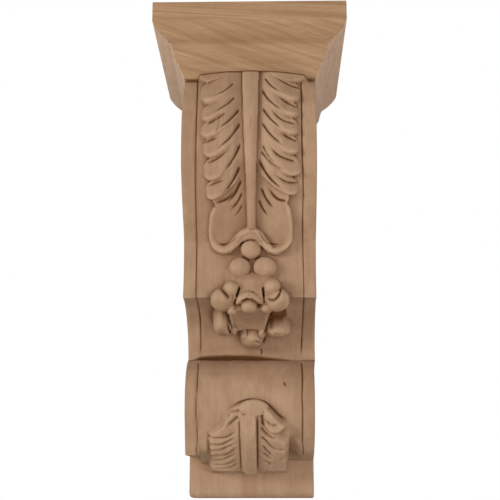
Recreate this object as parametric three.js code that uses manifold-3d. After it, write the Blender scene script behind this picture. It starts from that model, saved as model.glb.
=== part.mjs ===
// A carved wooden corbel bracket: a moulded cap block glued on a scrolled, carved body.
// Millimetres, +Z up, front towards -Y. The origin lies on the face that meets the wall, near its middle.

import * as THREE from 'three';
import { mergeVertices } from 'three/addons/utils/BufferGeometryUtils.js';
import Module from 'manifold-3d';

const wasm = await Module();
wasm.setup();

// Driving dimensions
const HEIGHT = 353;
const TOP = 178;
const BOTTOM = TOP - HEIGHT;
const CAP_WIDTH = 143;
const CAP_DEPTH = 152;
const CAP_HEIGHT = 52;
const BODY_WIDTH = 96;
const GLUE_GAP = 0.3;
const BODY_TOP = TOP - CAP_HEIGHT;

// Cap moulding below the plain fascia: how far each member's end lies in from the cap's edge and below
// its top, and how far the member swells out of the straight
const FASCIA_DROP = 15;
const NECK_INSET = 21.4;
const FIRST_OVOLO = { inset: 13, drop: 28, swell: 1.5 };
const COVE = { inset: 15, drop: 36, swell: -0.6 };
const SECOND_OVOLO = { inset: 20, drop: 40.5, swell: 0.7 };
const NECK = { inset: NECK_INSET, drop: CAP_HEIGHT, swell: 0 };

// Body profile: points are (distance from the wall, height)
const SHOULDER = new THREE.Vector2(CAP_DEPTH - NECK_INSET, BODY_TOP);
const WAIST = new THREE.Vector2(121, 3);
const NOSE = new THREE.Vector2(124, -39);
const BELLY_RISE = 20;
const FLARE_RISE = -2.5;
const ROLL_CENTRE = new THREE.Vector2(59, -110);
const ROLL_RADIUS = 36;
const CREVICE_DEPTH = 64;
const BLOCK_DEPTH = 35;
const BLOCK_ROUND = 6;

// Carving: x runs across the front, and "down" is the distance along the profile from the body's top
const LEAF_OVERLAP = 1.5;
const LEAF_TOP = BODY_TOP + LEAF_OVERLAP;
const TURN_REACH = 9;
const STEM = { length: 120, topRadius: 6.4, endRadius: 3.6, lift: 2.5 };
const UPPER_LOBES = { count: 7, firstTip: 9, pitch: 15.2, root: 5, tip: 34.5, tipDraw: 0.9, width: 17 };
const UPPER_DROOP = { first: 8, growth: 2.2 };
const LOBE_LIFT = 4.6;
const CUP = { x: 16, down: 122, halfWidth: 12.5, halfLength: 19, lift: 3.6 };
const RIM_HALF = [[21, 106], [29, 117], [28, 132], [20, 141], [11, 131], [5, 125]];
const RIM_RADIUS = 2.6;
const RIM_LIFT = 4.2;
const BERRIES = [
  { x: 0.6, down: 139, radius: 7.8 },
  { x: -7.4, down: 153, radius: 8 },
  { x: 10.5, down: 153, radius: 8.5 },
];
const FLOWER_MIDDLE = [
  { x: 0, depth: 122, height: -37, half: [12, 11, 9] },
  { x: -0.7, depth: 124, height: -46, half: [5.5, 6.5, 5] },
  { x: 0, depth: 108, height: -49, half: [17, 18, 9] },
  { x: 0, depth: 88, height: -56, half: [8.5, 10, 9] },
];
const FLOWER_SIDE = [
  { x: 19.5, depth: 124, height: -41, half: [8.6, 9.5, 8.4] },
  { x: 14.8, depth: 125, height: -32.5, half: [5.8, 7.5, 5.6] },
  { x: 21, depth: 96, height: -49, half: [8, 15, 9] },
];
const TONGUE_LEFT = -30;
const TONGUE_RIGHT = 27;
const TONGUE_LEAVES_ROLL = -40;
const TONGUE_END = new THREE.Vector2(50, -156);
const LOWER_STEM = { start: 308, radius: 5.6, lift: 1.6, setBack: 1 };
const LOWER_LOBES = { count: 5, firstRoot: 313, pitch: 9.5, root: 5, tip: 27, droop: 9 };
const LOWER_LOBE_WIDTH = 10.5;
const LOWER_LOBE_LIFT = 3;
const CURLED_TIP = { x: 2.5, down: 308, halfWidth: 10.5, halfLength: 5.6, lift: 6.5 };

// Facets
const CURVE_SEGMENTS = 8;
const BALL = [12, 8];
const LOBE_FACETS = [10, 6];
const STEM_FACETS = [10, 14];
const RIM_STEPS = 30;
const RIM_FACETS = 4;

// Solids
function solid(geometry) {
  geometry.deleteAttribute('normal');
  geometry.deleteAttribute('uv');
  const merged = mergeVertices(geometry, 1e-4);
  const vertProperties = new Float32Array(merged.attributes.position.array);
  const triVerts = new Uint32Array(merged.index.array);
  return new wasm.Manifold(new wasm.Mesh({ numProp: 3, vertProperties, triVerts }));
}

function geometryOf(manifold) {
  const mesh = manifold.getMesh();
  const geometry = new THREE.BufferGeometry();
  geometry.setAttribute('position', new THREE.BufferAttribute(mesh.vertProperties, 3));
  geometry.setIndex(new THREE.BufferAttribute(mesh.triVerts, 1));
  geometry.computeVertexNormals();
  return geometry;
}

// A side outline, drawn as (distance from the wall, height), run across the front
function acrossFront(outline, left, right) {
  const settings = { depth: right - left, bevelEnabled: false, curveSegments: CURVE_SEGMENTS };
  const geometry = new THREE.ExtrudeGeometry(outline, settings);
  const basis = new THREE.Matrix4().makeBasis(
    new THREE.Vector3(0, -1, 0),
    new THREE.Vector3(0, 0, 1),
    new THREE.Vector3(-1, 0, 0),
  );
  geometry.applyMatrix4(basis);
  geometry.translate(right, 0, 0);
  return geometry;
}

// A front outline, drawn as (x, height), run forward from the wall
function forwardFromWall(outline, depth) {
  const settings = { depth, bevelEnabled: false, curveSegments: CURVE_SEGMENTS };
  return new THREE.ExtrudeGeometry(outline, settings).rotateX(Math.PI / 2);
}

// Cap moulding as (inset, height), from the top edge down to the neck
function mouldingPoints() {
  const line = new THREE.Path();
  line.moveTo(0, TOP);
  line.lineTo(0, TOP - FASCIA_DROP);
  for (const { inset, drop, swell } of [FIRST_OVOLO, COVE, SECOND_OVOLO, NECK]) {
    const from = line.currentPoint.clone();
    const to = new THREE.Vector2(inset, TOP - drop);
    const outward = new THREE.Vector2(to.y - from.y, from.x - to.x).normalize();
    const bend = from.clone().add(to).multiplyScalar(0.5).addScaledVector(outward, 2 * swell);
    line.quadraticCurveTo(bend.x, bend.y, to.x, to.y);
  }
  return line.getPoints(CURVE_SEGMENTS / 2);
}

// The moulding turns the front corners on a mitre, where the front and side profiles cross
function capSolid() {
  const moulding = mouldingPoints();
  const side = [new THREE.Vector2(0, BODY_TOP), new THREE.Vector2(0, TOP)];
  const front = [];
  for (const { x: inset, y: height } of moulding) {
    side.push(new THREE.Vector2(CAP_DEPTH - inset, height));
    front.unshift(new THREE.Vector2(inset - CAP_WIDTH / 2, height));
    front.push(new THREE.Vector2(CAP_WIDTH / 2 - inset, height));
  }
  const across = solid(acrossFront(new THREE.Shape(side), -CAP_WIDTH / 2, CAP_WIDTH / 2));
  const forward = solid(forwardFromWall(new THREE.Shape(front), CAP_DEPTH));
  return across.intersect(forward);
}

// An arc between two profile points that stands out from their chord by rise, or sinks in if negative
function archTo(line, from, to, rise) {
  const chord = to.clone().sub(from);
  const outward = new THREE.Vector2(-chord.y, chord.x).normalize();
  const height = Math.abs(rise);
  const radius = (chord.lengthSq() / 4 + height * height) / (2 * height);
  const centre = from.clone().add(to).multiplyScalar(0.5);
  centre.addScaledVector(outward, -Math.sign(rise) * (radius - height));
  const start = from.clone().sub(centre).angle();
  const end = to.clone().sub(centre).angle();
  line.absarc(centre.x, centre.y, radius, start, end, rise > 0);
}

// The front line down to the roll, as far round it as an angle below level in degrees
function frontLine(rollEndDegrees) {
  const line = new THREE.Path();
  const creviceAngle = Math.acos((CREVICE_DEPTH - ROLL_CENTRE.x) / ROLL_RADIUS);
  const creviceHeight = ROLL_CENTRE.y + ROLL_RADIUS * Math.sin(creviceAngle);
  const coveReach = NOSE.x - CREVICE_DEPTH;
  line.moveTo(SHOULDER.x, SHOULDER.y);
  archTo(line, SHOULDER, WAIST, BELLY_RISE);
  archTo(line, WAIST, NOSE, FLARE_RISE);
  line.absellipse(NOSE.x, creviceHeight, coveReach, NOSE.y - creviceHeight, Math.PI / 2, Math.PI);
  const rollEnd = THREE.MathUtils.degToRad(rollEndDegrees);
  line.absarc(ROLL_CENTRE.x, ROLL_CENTRE.y, ROLL_RADIUS, creviceAngle, rollEnd, true);
  return line;
}

// Whole front line of the plain body, down to the block's underside
function groundLine() {
  const line = frontLine(-90);
  line.lineTo(BLOCK_DEPTH, ROLL_CENTRE.y - ROLL_RADIUS);
  line.lineTo(BLOCK_DEPTH, BOTTOM + BLOCK_ROUND);
  line.absarc(BLOCK_DEPTH - BLOCK_ROUND, BOTTOM + BLOCK_ROUND, BLOCK_ROUND, 0, -Math.PI / 2, true);
  return line;
}

// Front line where the lower leaf leaves the roll and hangs over the block
function tongueLine() {
  const line = frontLine(TONGUE_LEAVES_ROLL);
  const angle = THREE.MathUtils.degToRad(TONGUE_LEAVES_ROLL);
  const leave = line.currentPoint.clone();
  const away = new THREE.Vector2(Math.sin(angle), -Math.cos(angle));
  const bend = leave.clone().addScaledVector(away, ROLL_RADIUS / 3);
  line.quadraticCurveTo(bend.x, bend.y, TONGUE_END.x, TONGUE_END.y);
  return line;
}

const ground = groundLine();
const tongue = tongueLine();

// A place on the front: x across, distance down a line, and lift out from it
function place(line, x, down, lift) {
  const length = line.getLength();
  const share = (distance) => THREE.MathUtils.clamp(distance / length, 0, 1);
  const here = line.getPoint(share(down));
  const before = line.getPoint(share(down - TURN_REACH));
  const after = line.getPoint(share(down + TURN_REACH));
  const along = after.sub(before).normalize();
  here.addScaledVector(along, down - share(down) * length);
  return new THREE.Vector3(x, -(here.x - along.y * lift), here.y + along.x * lift);
}

// Bends a form modelled flat, as (x, minus down, lift), on to a front line
function lay(geometry, line) {
  const position = geometry.attributes.position;
  for (let i = 0; i < position.count; i += 1) {
    const bent = place(line, position.getX(i), -position.getY(i), position.getZ(i));
    position.setXYZ(i, bent.x, bent.y, bent.z);
  }
  return geometry;
}

// One leaf lobe from a root beside the stem out to a tip
function lobe(line, root, tip, width, lift) {
  const reach = tip.clone().sub(root);
  const geometry = new THREE.SphereGeometry(1, ...LOBE_FACETS);
  geometry.scale(reach.length() / 2, width / 2, lift);
  geometry.rotateZ(Math.atan2(-reach.y, reach.x));
  geometry.translate((root.x + tip.x) / 2, -(root.y + tip.y) / 2, 0);
  return solid(lay(geometry, line));
}

function stem(line, start, length, topRadius, endRadius, lift) {
  const geometry = new THREE.CylinderGeometry(topRadius, endRadius, length, ...STEM_FACETS);
  geometry.translate(0, -start - length / 2, lift);
  return solid(lay(geometry, line));
}

function flatOval(line, { x, down, halfWidth, halfLength, lift }) {
  const geometry = new THREE.SphereGeometry(1, ...LOBE_FACETS);
  geometry.scale(halfWidth, halfLength, lift);
  geometry.translate(x, -down, 0);
  return solid(lay(geometry, line));
}

// Upper leaf: lobes drooping from a half-round stem, more steeply towards the tip
function upperLeaf() {
  const pieces = [stem(ground, 0, STEM.length, STEM.topRadius, STEM.endRadius, STEM.lift)];
  for (const side of [-1, 1]) {
    for (let i = 0; i < UPPER_LOBES.count; i += 1) {
      const tipDown = UPPER_LOBES.firstTip + UPPER_LOBES.pitch * i;
      const droop = UPPER_DROOP.first + UPPER_DROOP.growth * i;
      const tip = new THREE.Vector2(side * (UPPER_LOBES.tip - UPPER_LOBES.tipDraw * i), tipDown);
      const root = new THREE.Vector2(side * UPPER_LOBES.root, tipDown - droop);
      pieces.push(lobe(ground, root, tip, UPPER_LOBES.width, LOBE_LIFT));
    }
  }
  return pieces;
}

// Leaf tip: a smooth cup each side of the stem, inside one rolled rim
function leafTip() {
  const pieces = [];
  const left = RIM_HALF.map(([x, down]) => new THREE.Vector3(-x, -down, RIM_LIFT));
  const right = RIM_HALF.map(([x, down]) => new THREE.Vector3(x, -down, RIM_LIFT)).reverse();
  const route = new THREE.CatmullRomCurve3([...left, ...right]);
  const ring = new THREE.Shape().absarc(0, 0, RIM_RADIUS, 0, 2 * Math.PI);
  const settings = { steps: RIM_STEPS, extrudePath: route, curveSegments: RIM_FACETS };
  pieces.push(solid(lay(new THREE.ExtrudeGeometry(ring, settings), ground)));
  for (const side of [-1, 1]) {
    pieces.push(flatOval(ground, { ...CUP, x: side * CUP.x }));
  }
  return pieces;
}

function ball(centre, half) {
  const geometry = new THREE.SphereGeometry(1, ...BALL).scale(...half);
  return solid(geometry.translate(centre.x, centre.y, centre.z));
}

function berries() {
  return BERRIES.map(({ x, down, radius }) => ball(place(ground, x, down, 0), [radius, radius, radius]));
}

// Flower over the nose: paired petals round a middle boss, with a shield and a knob below
function flower() {
  const form = (side) => ({ x, depth, height, half }) => {
    return ball(new THREE.Vector3(x * side, -depth, height), half);
  };
  const middle = FLOWER_MIDDLE.map(form(1));
  const left = FLOWER_SIDE.map(form(-1));
  const right = FLOWER_SIDE.map(form(1));
  return [...middle, ...left, ...right];
}

// Lower leaf: a tongue from the roll to the block, with a stem, lobes and a curled tip
function lowerLeaf() {
  const outline = new THREE.Shape(tongue.getPoints(CURVE_SEGMENTS));
  outline.lineTo(BLOCK_DEPTH - BLOCK_ROUND, TONGUE_END.y);
  outline.lineTo(BLOCK_DEPTH - BLOCK_ROUND, BODY_TOP);
  const { start, radius, lift, setBack } = LOWER_STEM;
  const stemLength = tongue.getLength() - start - setBack;
  const pieces = [
    solid(acrossFront(outline, TONGUE_LEFT, TONGUE_RIGHT)),
    stem(tongue, start, stemLength, radius, radius, lift),
    flatOval(tongue, CURLED_TIP),
  ];
  for (const side of [-1, 1]) {
    for (let i = 0; i < LOWER_LOBES.count; i += 1) {
      const down = LOWER_LOBES.firstRoot + LOWER_LOBES.pitch * i;
      const root = new THREE.Vector2(side * LOWER_LOBES.root, down);
      const tip = new THREE.Vector2(side * LOWER_LOBES.tip, down + LOWER_LOBES.droop);
      pieces.push(lobe(tongue, root, tip, LOWER_LOBE_WIDTH, LOWER_LOBE_LIFT));
    }
  }
  return pieces;
}

// The body is carved from one block, so its forms are joined, then cut clear of the cap
function bodySolid() {
  const outline = new THREE.Shape(ground.getPoints(CURVE_SEGMENTS));
  outline.lineTo(0, BOTTOM);
  outline.lineTo(0, BODY_TOP);
  let body = solid(acrossFront(outline, -BODY_WIDTH / 2, BODY_WIDTH / 2));
  for (const piece of [...upperLeaf(), ...leafTip(), ...berries(), ...flower(), ...lowerLeaf()]) {
    body = body.add(piece);
  }
  const neckDepth = SHOULDER.x + GLUE_GAP;
  const room = new THREE.BoxGeometry(CAP_WIDTH, neckDepth, CAP_HEIGHT);
  room.translate(0, -neckDepth / 2, BODY_TOP - GLUE_GAP + CAP_HEIGHT / 2);
  const above = new THREE.BoxGeometry(CAP_WIDTH, 2 * CAP_DEPTH, CAP_HEIGHT);
  above.translate(0, 0, LEAF_TOP + CAP_HEIGHT / 2);
  return body.subtract(solid(room)).subtract(solid(above));
}

const capWood = new THREE.MeshStandardMaterial({ color: 0xa88462, roughness: 0.75, metalness: 0 });
const bodyWood = new THREE.MeshStandardMaterial({ color: 0xaa886c, roughness: 0.8, metalness: 0 });

function named(name, manifold, material) {
  const mesh = new THREE.Mesh(geometryOf(manifold), material);
  mesh.name = name;
  return mesh;
}

const corbel = new THREE.Group();
corbel.add(named('cap_block', capSolid(), capWood));
corbel.add(named('carved_body', bodySolid(), bodyWood));

export default corbel;
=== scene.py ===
# %% [markdown]
# # A carved wooden corbel
#
# The corbel is two pieces of bare wood: a moulded cap block, and a scrolled body with a leaf, berries,
# a flower and a second leaf carved on its front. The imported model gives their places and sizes, so the
# first cell loads it and takes the few lengths that everything below is worked out from. Lengths are in
# millimetres until a mesh is written, and then in metres.

# %% Load the frame and take its sizes
import math

import bpy
import numpy as np
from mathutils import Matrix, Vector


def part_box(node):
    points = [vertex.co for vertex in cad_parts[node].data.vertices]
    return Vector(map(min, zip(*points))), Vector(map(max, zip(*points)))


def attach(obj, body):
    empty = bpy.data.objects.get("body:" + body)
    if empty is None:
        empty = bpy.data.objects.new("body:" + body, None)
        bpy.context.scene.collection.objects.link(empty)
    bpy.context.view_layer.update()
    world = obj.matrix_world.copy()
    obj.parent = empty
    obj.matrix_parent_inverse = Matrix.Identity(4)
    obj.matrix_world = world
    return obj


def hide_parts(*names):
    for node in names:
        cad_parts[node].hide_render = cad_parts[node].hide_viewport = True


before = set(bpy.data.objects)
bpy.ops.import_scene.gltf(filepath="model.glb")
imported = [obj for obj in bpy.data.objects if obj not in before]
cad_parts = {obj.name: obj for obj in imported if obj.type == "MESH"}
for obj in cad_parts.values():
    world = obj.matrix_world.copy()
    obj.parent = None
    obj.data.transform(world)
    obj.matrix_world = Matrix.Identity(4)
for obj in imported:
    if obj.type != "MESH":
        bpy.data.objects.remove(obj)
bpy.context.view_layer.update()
MM = 0.001
cap_low, cap_high = [np.array(corner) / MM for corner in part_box("cap_block")]
body_low, body_high = [np.array(corner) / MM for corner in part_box("carved_body")]
CAP_HALF_WIDTH = cap_high[0]
CAP_DEPTH = -cap_low[1]
CAP_TOP = cap_high[2]
CAP_BOTTOM = cap_low[2]
BODY_HALF_WIDTH = body_high[0]
BODY_BOTTOM = body_low[2]
GLUE_GAP = 0.3
print(f"cap {2 * CAP_HALF_WIDTH:.0f} x {CAP_DEPTH:.0f} mm, body {2 * BODY_HALF_WIDTH:.0f} mm wide")

# %% [markdown]
# ## The camera
#
# The corbel is seen from a little below its foot, looking up. The focal length is in pixels of the
# 500 pixel frame, so the lens follows from the sensor's width. A plain tilt keeps the lens unshifted.

# %% Camera
FRAME_PIXELS = 500
FOCAL_PIXELS = 1150
CAMERA_PLACE = (16.2, -926.0, -210.0)
CAMERA_TILT = 14.4
CAMERA_PAN = 1.16
SENSOR_WIDTH = 36

turn = (math.radians(90 + CAMERA_TILT), 0, math.radians(CAMERA_PAN))
bpy.ops.object.camera_add(location=[v * MM for v in CAMERA_PLACE], rotation=turn)
camera = bpy.context.object
camera.name = "front_view"
camera.data.sensor_width = SENSOR_WIDTH
camera.data.lens = SENSOR_WIDTH * FOCAL_PIXELS / FRAME_PIXELS
bpy.context.scene.camera = camera
print(f"lens {camera.data.lens:.1f} mm")

# %% [markdown]
# ## The side profile
#
# A carver first saws the side profile: a belly, a waist, a nose, a hollow under it, a roll and a foot
# block. Each stretch is an arc or a straight, given as (distance from the wall, height). A curve object
# could hold it too, but a line of points can be asked for its point at any distance down from the top,
# and the whole carving is laid out by that distance.

# %% Profile lines
SHOULDER = (130.6, CAP_BOTTOM - GLUE_GAP)
WAIST = (121.0, 3.0)
NOSE = (124.0, -39.0)
BELLY_RISE = 20.0
FLARE_RISE = -2.5
ROLL_CENTRE = (59.0, -110.0)
ROLL_RADIUS = 36.0
CREVICE_DEPTH = 64.0
BLOCK_DEPTH = 35.0
BLOCK_TOP = -147.0
BLOCK_ROUND = 6.0


def arc(centre, radii, start, end, steps=240):
    angle = np.linspace(start, end, steps)
    return np.column_stack([centre[0] + radii[0] * np.cos(angle), centre[1] + radii[1] * np.sin(angle)])


def arch(start, end, rise):
    """An arc that stands out by rise from the straight between two points. A negative rise sinks in."""
    start, end = np.array(start), np.array(end)
    chord = end - start
    out = np.array([-chord[1], chord[0]]) / np.hypot(*chord)
    radius = (chord @ chord / 4 + rise * rise) / (2 * abs(rise))
    centre = (start + end) / 2 - out * np.sign(rise) * (radius - abs(rise))
    first, last = [math.atan2(p[1] - centre[1], p[0] - centre[0]) for p in (start, end)]
    if rise < 0:
        first, last = first % (2 * math.pi), last % (2 * math.pi)
    return arc(centre, (radius, radius), first, last)


def straight(start, end, steps=80):
    return np.linspace(start, end, steps)


class Line:
    """A line down the front, read by the distance down it."""

    def __init__(self, *stretches):
        self.points = np.concatenate(stretches)
        steps = np.hypot(*np.diff(self.points, axis=0).T)
        self.downs = np.concatenate([[0], np.cumsum(steps)])
        self.length = self.downs[-1]

    def at(self, down):
        depth = np.interp(down, self.downs, self.points[:, 0])
        return np.stack([depth, np.interp(down, self.downs, self.points[:, 1])], -1)

    def down_to(self, point):
        return self.downs[np.argmin(np.hypot(*(self.points - point).T))]


def on_roll(angle):
    return np.array(ROLL_CENTRE) + ROLL_RADIUS * np.array([math.cos(angle), math.sin(angle)])


crevice_angle = math.acos((CREVICE_DEPTH - ROLL_CENTRE[0]) / ROLL_RADIUS)
crevice_height = on_roll(crevice_angle)[1]
cove_radii = (NOSE[0] - CREVICE_DEPTH, NOSE[1] - crevice_height)
foot_centre = (BLOCK_DEPTH - BLOCK_ROUND, BODY_BOTTOM + BLOCK_ROUND)
ground = Line(
    arch(SHOULDER, WAIST, BELLY_RISE),
    arch(WAIST, NOSE, FLARE_RISE),
    arc((NOSE[0], crevice_height), cove_radii, math.pi / 2, math.pi),
    arc(ROLL_CENTRE, (ROLL_RADIUS, ROLL_RADIUS), crevice_angle, -math.pi / 2),
    straight(on_roll(-math.pi / 2), (BLOCK_DEPTH, BLOCK_TOP)),
    straight((BLOCK_DEPTH, BLOCK_TOP), (BLOCK_DEPTH, foot_centre[1])),
    arc(foot_centre, (BLOCK_ROUND, BLOCK_ROUND), 0, -math.pi / 2, steps=40),
)
nose_down = ground.down_to(NOSE)
crevice_down = ground.down_to((CREVICE_DEPTH, crevice_height))
print(f"front line {ground.length:.0f} mm, nose at {nose_down:.0f}, crevice at {crevice_down:.0f}")

# %% [markdown]
# ## The tongue of the lower leaf
#
# The lower leaf starts on the roll, leaves it where the roll turns under, and hangs over the foot block
# as a tongue. So inside the leaf the front follows a second line. It is read by the same distances as
# the plain one, squeezed to fit, so that one sheet of mesh can follow both.

# %% Tongue line
TONGUE_LEAVES = math.radians(-40)
TONGUE_END = (50.0, -156.0)
TONGUE_FOOT = (BLOCK_DEPTH, -156.4)
TONGUE_EASE = 12.0


def curve(start, bend, end, steps=80):
    share = np.linspace(0, 1, steps)[:, None]
    start, bend, end = np.array(start), np.array(bend), np.array(end)
    return (1 - share) ** 2 * start + 2 * share * (1 - share) * bend + share ** 2 * end


leave = on_roll(TONGUE_LEAVES)
onward = np.array([math.sin(TONGUE_LEAVES), -math.cos(TONGUE_LEAVES)])
hanging = Line(
    curve(leave, leave + TONGUE_EASE * onward, TONGUE_END),
    straight(TONGUE_END, TONGUE_FOOT),
)
leave_down = ground.down_to(leave)
foot_down = ground.down_to(TONGUE_FOOT)


def detour(line, start, end):
    """A way down that leaves the plain line at one distance, follows another, and is back at the second."""
    def at(down):
        share = (down - start) / (end - start)
        away = (share > 0) & (share < 1)
        return np.where(away[:, None], line.at(share * line.length), ground.at(down))
    return at


def outward(place_at, downs, reach):
    """The way out from the wood, as (away from the wall, up), smoothed over a reach each way."""
    along = place_at(np.minimum(downs + reach, ground.length)) - place_at(np.maximum(downs - reach, 0))
    out = np.column_stack([-along[:, 1], along[:, 0]])
    return out / np.hypot(*out.T)[:, None]


tongue_at = detour(hanging, leave_down, foot_down)
print(f"tongue from {leave_down:.0f} to {foot_down:.0f} mm down")

# %% [markdown]
# ## A sheet to carve
#
# The front is one fine grid. Its rows are close together where the carving is fine and wider apart on
# plain wood, and its outer columns turn round the two long edges, which are eased as by sandpaper.
# Two more rows at the top make the small ledge behind the leaf, under the cap, and two more columns on
# each side run back to the wall.

# %% Grid primitive
EDGE_ROUND = 1.3
EDGE_SHARES = np.array([1 / 3, 2 / 3, 1])
# Each stop is a distance down, and the gap between rows from there on.
ROW_STOPS = [
    (0, 0.7), (156, 0.46), (196, 0.72), (238, 1.2), (246, 0.6), (256, 1.6), (297, 0.66), (374, 1.3),
    (ground.length, 1.0),
]
CARVED_HALF_WIDTH = 39.6
COLUMN_GAP = 0.53
PLAIN_COLUMN_GAP = 1.5
PLAIN_COLUMNS = 4
LEDGE_ROWS = 2
SIDE_SHARES = (0.012, 1.0)

runs = [np.arange(a, b, gap) for (a, gap), (b, _) in zip(ROW_STOPS, ROW_STOPS[1:])]
downs = np.concatenate(runs + [[ground.length]])
flat_half = BODY_HALF_WIDTH - EDGE_ROUND
half = np.concatenate([
    np.arange(COLUMN_GAP / 2, CARVED_HALF_WIDTH, COLUMN_GAP),
    np.linspace(CARVED_HALF_WIDTH + PLAIN_COLUMN_GAP, flat_half, PLAIN_COLUMNS),
    flat_half + EDGE_ROUND * math.pi / 2 * EDGE_SHARES,
])
across = np.concatenate([-half[::-1], half])
ROWS, COLUMNS = len(downs), len(across)
GRID_ROWS = ROWS + LEDGE_ROWS
GRID_COLUMNS = COLUMNS + 2 * len(SIDE_SHARES)

bpy.ops.object.select_all(action="DESELECT")
bpy.ops.mesh.primitive_grid_add(x_subdivisions=GRID_COLUMNS - 1, y_subdivisions=GRID_ROWS - 1, size=2)
body = bpy.context.object
body.name = "carved_body_wood"
flat = np.empty(len(body.data.vertices) * 3)
body.data.vertices.foreach_get("co", flat)
flat = flat.reshape(-1, 3)
column_of = np.rint((flat[:, 0] + 1) / 2 * (GRID_COLUMNS - 1)).astype(int)
row_of = np.rint((1 - flat[:, 1]) / 2 * (GRID_ROWS - 1)).astype(int)
print(f"grid {GRID_ROWS} rows x {GRID_COLUMNS} columns, {len(flat)} vertices")

# %% [markdown]
# ## Heights over the front
#
# Every place of the grid has a height, measured out from the plain front. The way out of the wood is
# taken over a short reach, so that it turns gently at the nose and a form that is carved over the edge
# swells round it. At the very top it looks level, because the leaf ends there under the cap. A picture
# and a Displace modifier could hold the heights too, but numbers can be worked out at their true size.

# %% Places and heights
NOSE_REACH = 9.0
TOP_REACH = 30.0


def smooth(low, high, value):
    share = np.clip((value - low) / (high - low), 0, 1)
    return share * share * (3 - 2 * share)


def past(value, line, soft=0.4):
    """0 before a line and 1 past it, with a soft change over this width each way."""
    return smooth(line - soft, line + soft, value)


def graded(value, stops):
    """Reads a value off a list of (place, value) stops."""
    return np.interp(value, *np.transpose(stops))


X, DOWN = np.meshgrid(across, downs)
height = np.zeros_like(X)
wood_at = ground.at(downs)
out_at = outward(ground.at, downs, NOSE_REACH)
base = np.repeat(wood_at[:, None, :], COLUMNS, axis=1)
out = np.repeat(out_at[:, None, :], COLUMNS, axis=1)
at_top = (1 - smooth(0, TOP_REACH, DOWN))[..., None]
out += at_top * (np.array([1.0, 0.0]) - out)
out /= np.hypot(out[..., 0], out[..., 1])[..., None]
print(f"heights at {X.size} places")

# %% [markdown]
# ## The carver's tools
#
# Five tools shape the heights, and each is one small function: a V-cut along a line, a rounded ridge along
# a line, a leaf lobe from root to tip, a ball, and a raised sheet inside an outline. Booleans of many small
# solids could do the same, but they leave ragged meshes, and a carver works this way round: every tool only
# raises or lowers one surface. The first three follow a line, so one helper finds the places near it.

# %% Cut, ridge and lobe
NOWHERE = -99.0
LOBE_STEPS = 24
LOBE_BLUNT = 0.72
LOBE_END_FALL = 0.8
LOBE_TUCK = 1.15
LOBE_FREE = (0.2, 0.75)
LOBE_LEAST_WIDTH = 0.01
LOBE_EDGE_POWER = 5
LOBE_END_POWER = 4


def route(points, steps=10):
    """A smooth line through a few points."""
    points = np.array(points, float)
    ends = np.vstack([2 * points[0] - points[1], points, 2 * points[-1] - points[-2]])
    share = np.linspace(0, 1, steps, endpoint=False)[:, None]
    parts = []
    for a, b, c, d in zip(ends, ends[1:], ends[2:], ends[3:]):
        bent = 2 * a - 5 * b + 4 * c - d + (3 * b - a - 3 * c + d) * share
        parts.append(b + 0.5 * share * (c - a + share * bent))
    return np.vstack(parts + [points[-1:]])


def near(line, reach):
    """The patch of the grid near a line, the share of the way along it and the signed distance from it."""
    low, high = line.min(0) - reach, line.max(0) + reach
    rows = slice(*np.searchsorted(downs, [low[1], high[1]]))
    columns = slice(*np.searchsorted(across, [low[0], high[0]]))
    place = np.stack([X[rows, columns], DOWN[rows, columns]], -1)[:, :, None, :]
    start, run = line[:-1], np.diff(line, axis=0)
    share = np.clip(((place - start) * run).sum(-1) / (run ** 2).sum(-1), 0, 1)
    apart = place - start - share[..., None] * run
    distance = np.hypot(apart[..., 0], apart[..., 1])
    nearest = distance.argmin(-1)[..., None]
    side = np.sign(run[:, 0] * apart[..., 1] - run[:, 1] * apart[..., 0])
    share, distance, side = [np.take_along_axis(v, nearest, -1)[..., 0] for v in (share, distance, side)]
    return (rows, columns), (nearest[..., 0] + share) / len(run), distance * np.where(side < 0, -1, 1)


def raise_to(patch, raised, where):
    height[patch] = np.maximum(height[patch], np.where(where, raised, NOWHERE))


def cut(points, width, depth, fades=(0.25, 0.25), soft=False):
    """A V-cut along a line, that runs out over a share of its length at each end. A soft one has round
    shoulders, as between two swelling forms."""
    patch, share, aside = near(route(points), width)
    groove = np.clip(1 - np.abs(aside) / (width / 2), 0, 1)
    if soft:
        groove = 1 - np.sqrt(1 - groove ** 2)
    ends = smooth(0, fades[0], share) * smooth(0, fades[1], 1 - share)
    height[patch] -= depth * groove * ends


def ridge(points, widths, lifts, roundness=0.35):
    """A rounded bead along a line, whose width and lift change evenly through the values given."""
    patch, share, aside = near(route(points), max(widths))
    width = np.interp(share, np.linspace(0, 1, len(widths)), widths)
    lift = np.interp(share, np.linspace(0, 1, len(lifts)), lifts)
    section = np.sqrt(np.clip(1 - (aside / (width / 2)) ** 2, 0, 1))
    raise_to(patch, lift - width * roundness * (1 - section), section > 0)


def lobe(root, bend, tip, half_width, rise, overlap=2.6):
    """A tongue of leaf: one with its neighbours at its root, free and blunt at its tip, where its lower
    edge stands over the next one. The rise is read by the distance out from the stem."""
    side = np.sign(tip[0] - root[0])
    patch, share, aside = near(curve(root, bend, tip, LOBE_STEPS), half_width * LOBE_TUCK + 1)
    blunt = np.clip((share - LOBE_BLUNT) / (1 - LOBE_BLUNT), 0, 1)
    place = side * aside / np.maximum(half_width * np.sqrt(1 - blunt ** 2), LOBE_LEAST_WIDTH)
    free = smooth(*LOBE_FREE, share)
    edge = 1 - free * (1 - np.sqrt(np.clip(1 - np.clip(place, 0, 1) ** LOBE_EDGE_POWER, 0, 1)))
    end = np.sqrt(1 - LOBE_END_FALL * blunt ** LOBE_END_POWER)
    lift = graded(np.abs(X[patch]), rise)
    raise_to(patch, lift * edge * end + free * overlap * place, (place > -LOBE_TUCK) & (place < 1))


print("tools along a line: cut, ridge and lobe")

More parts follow.
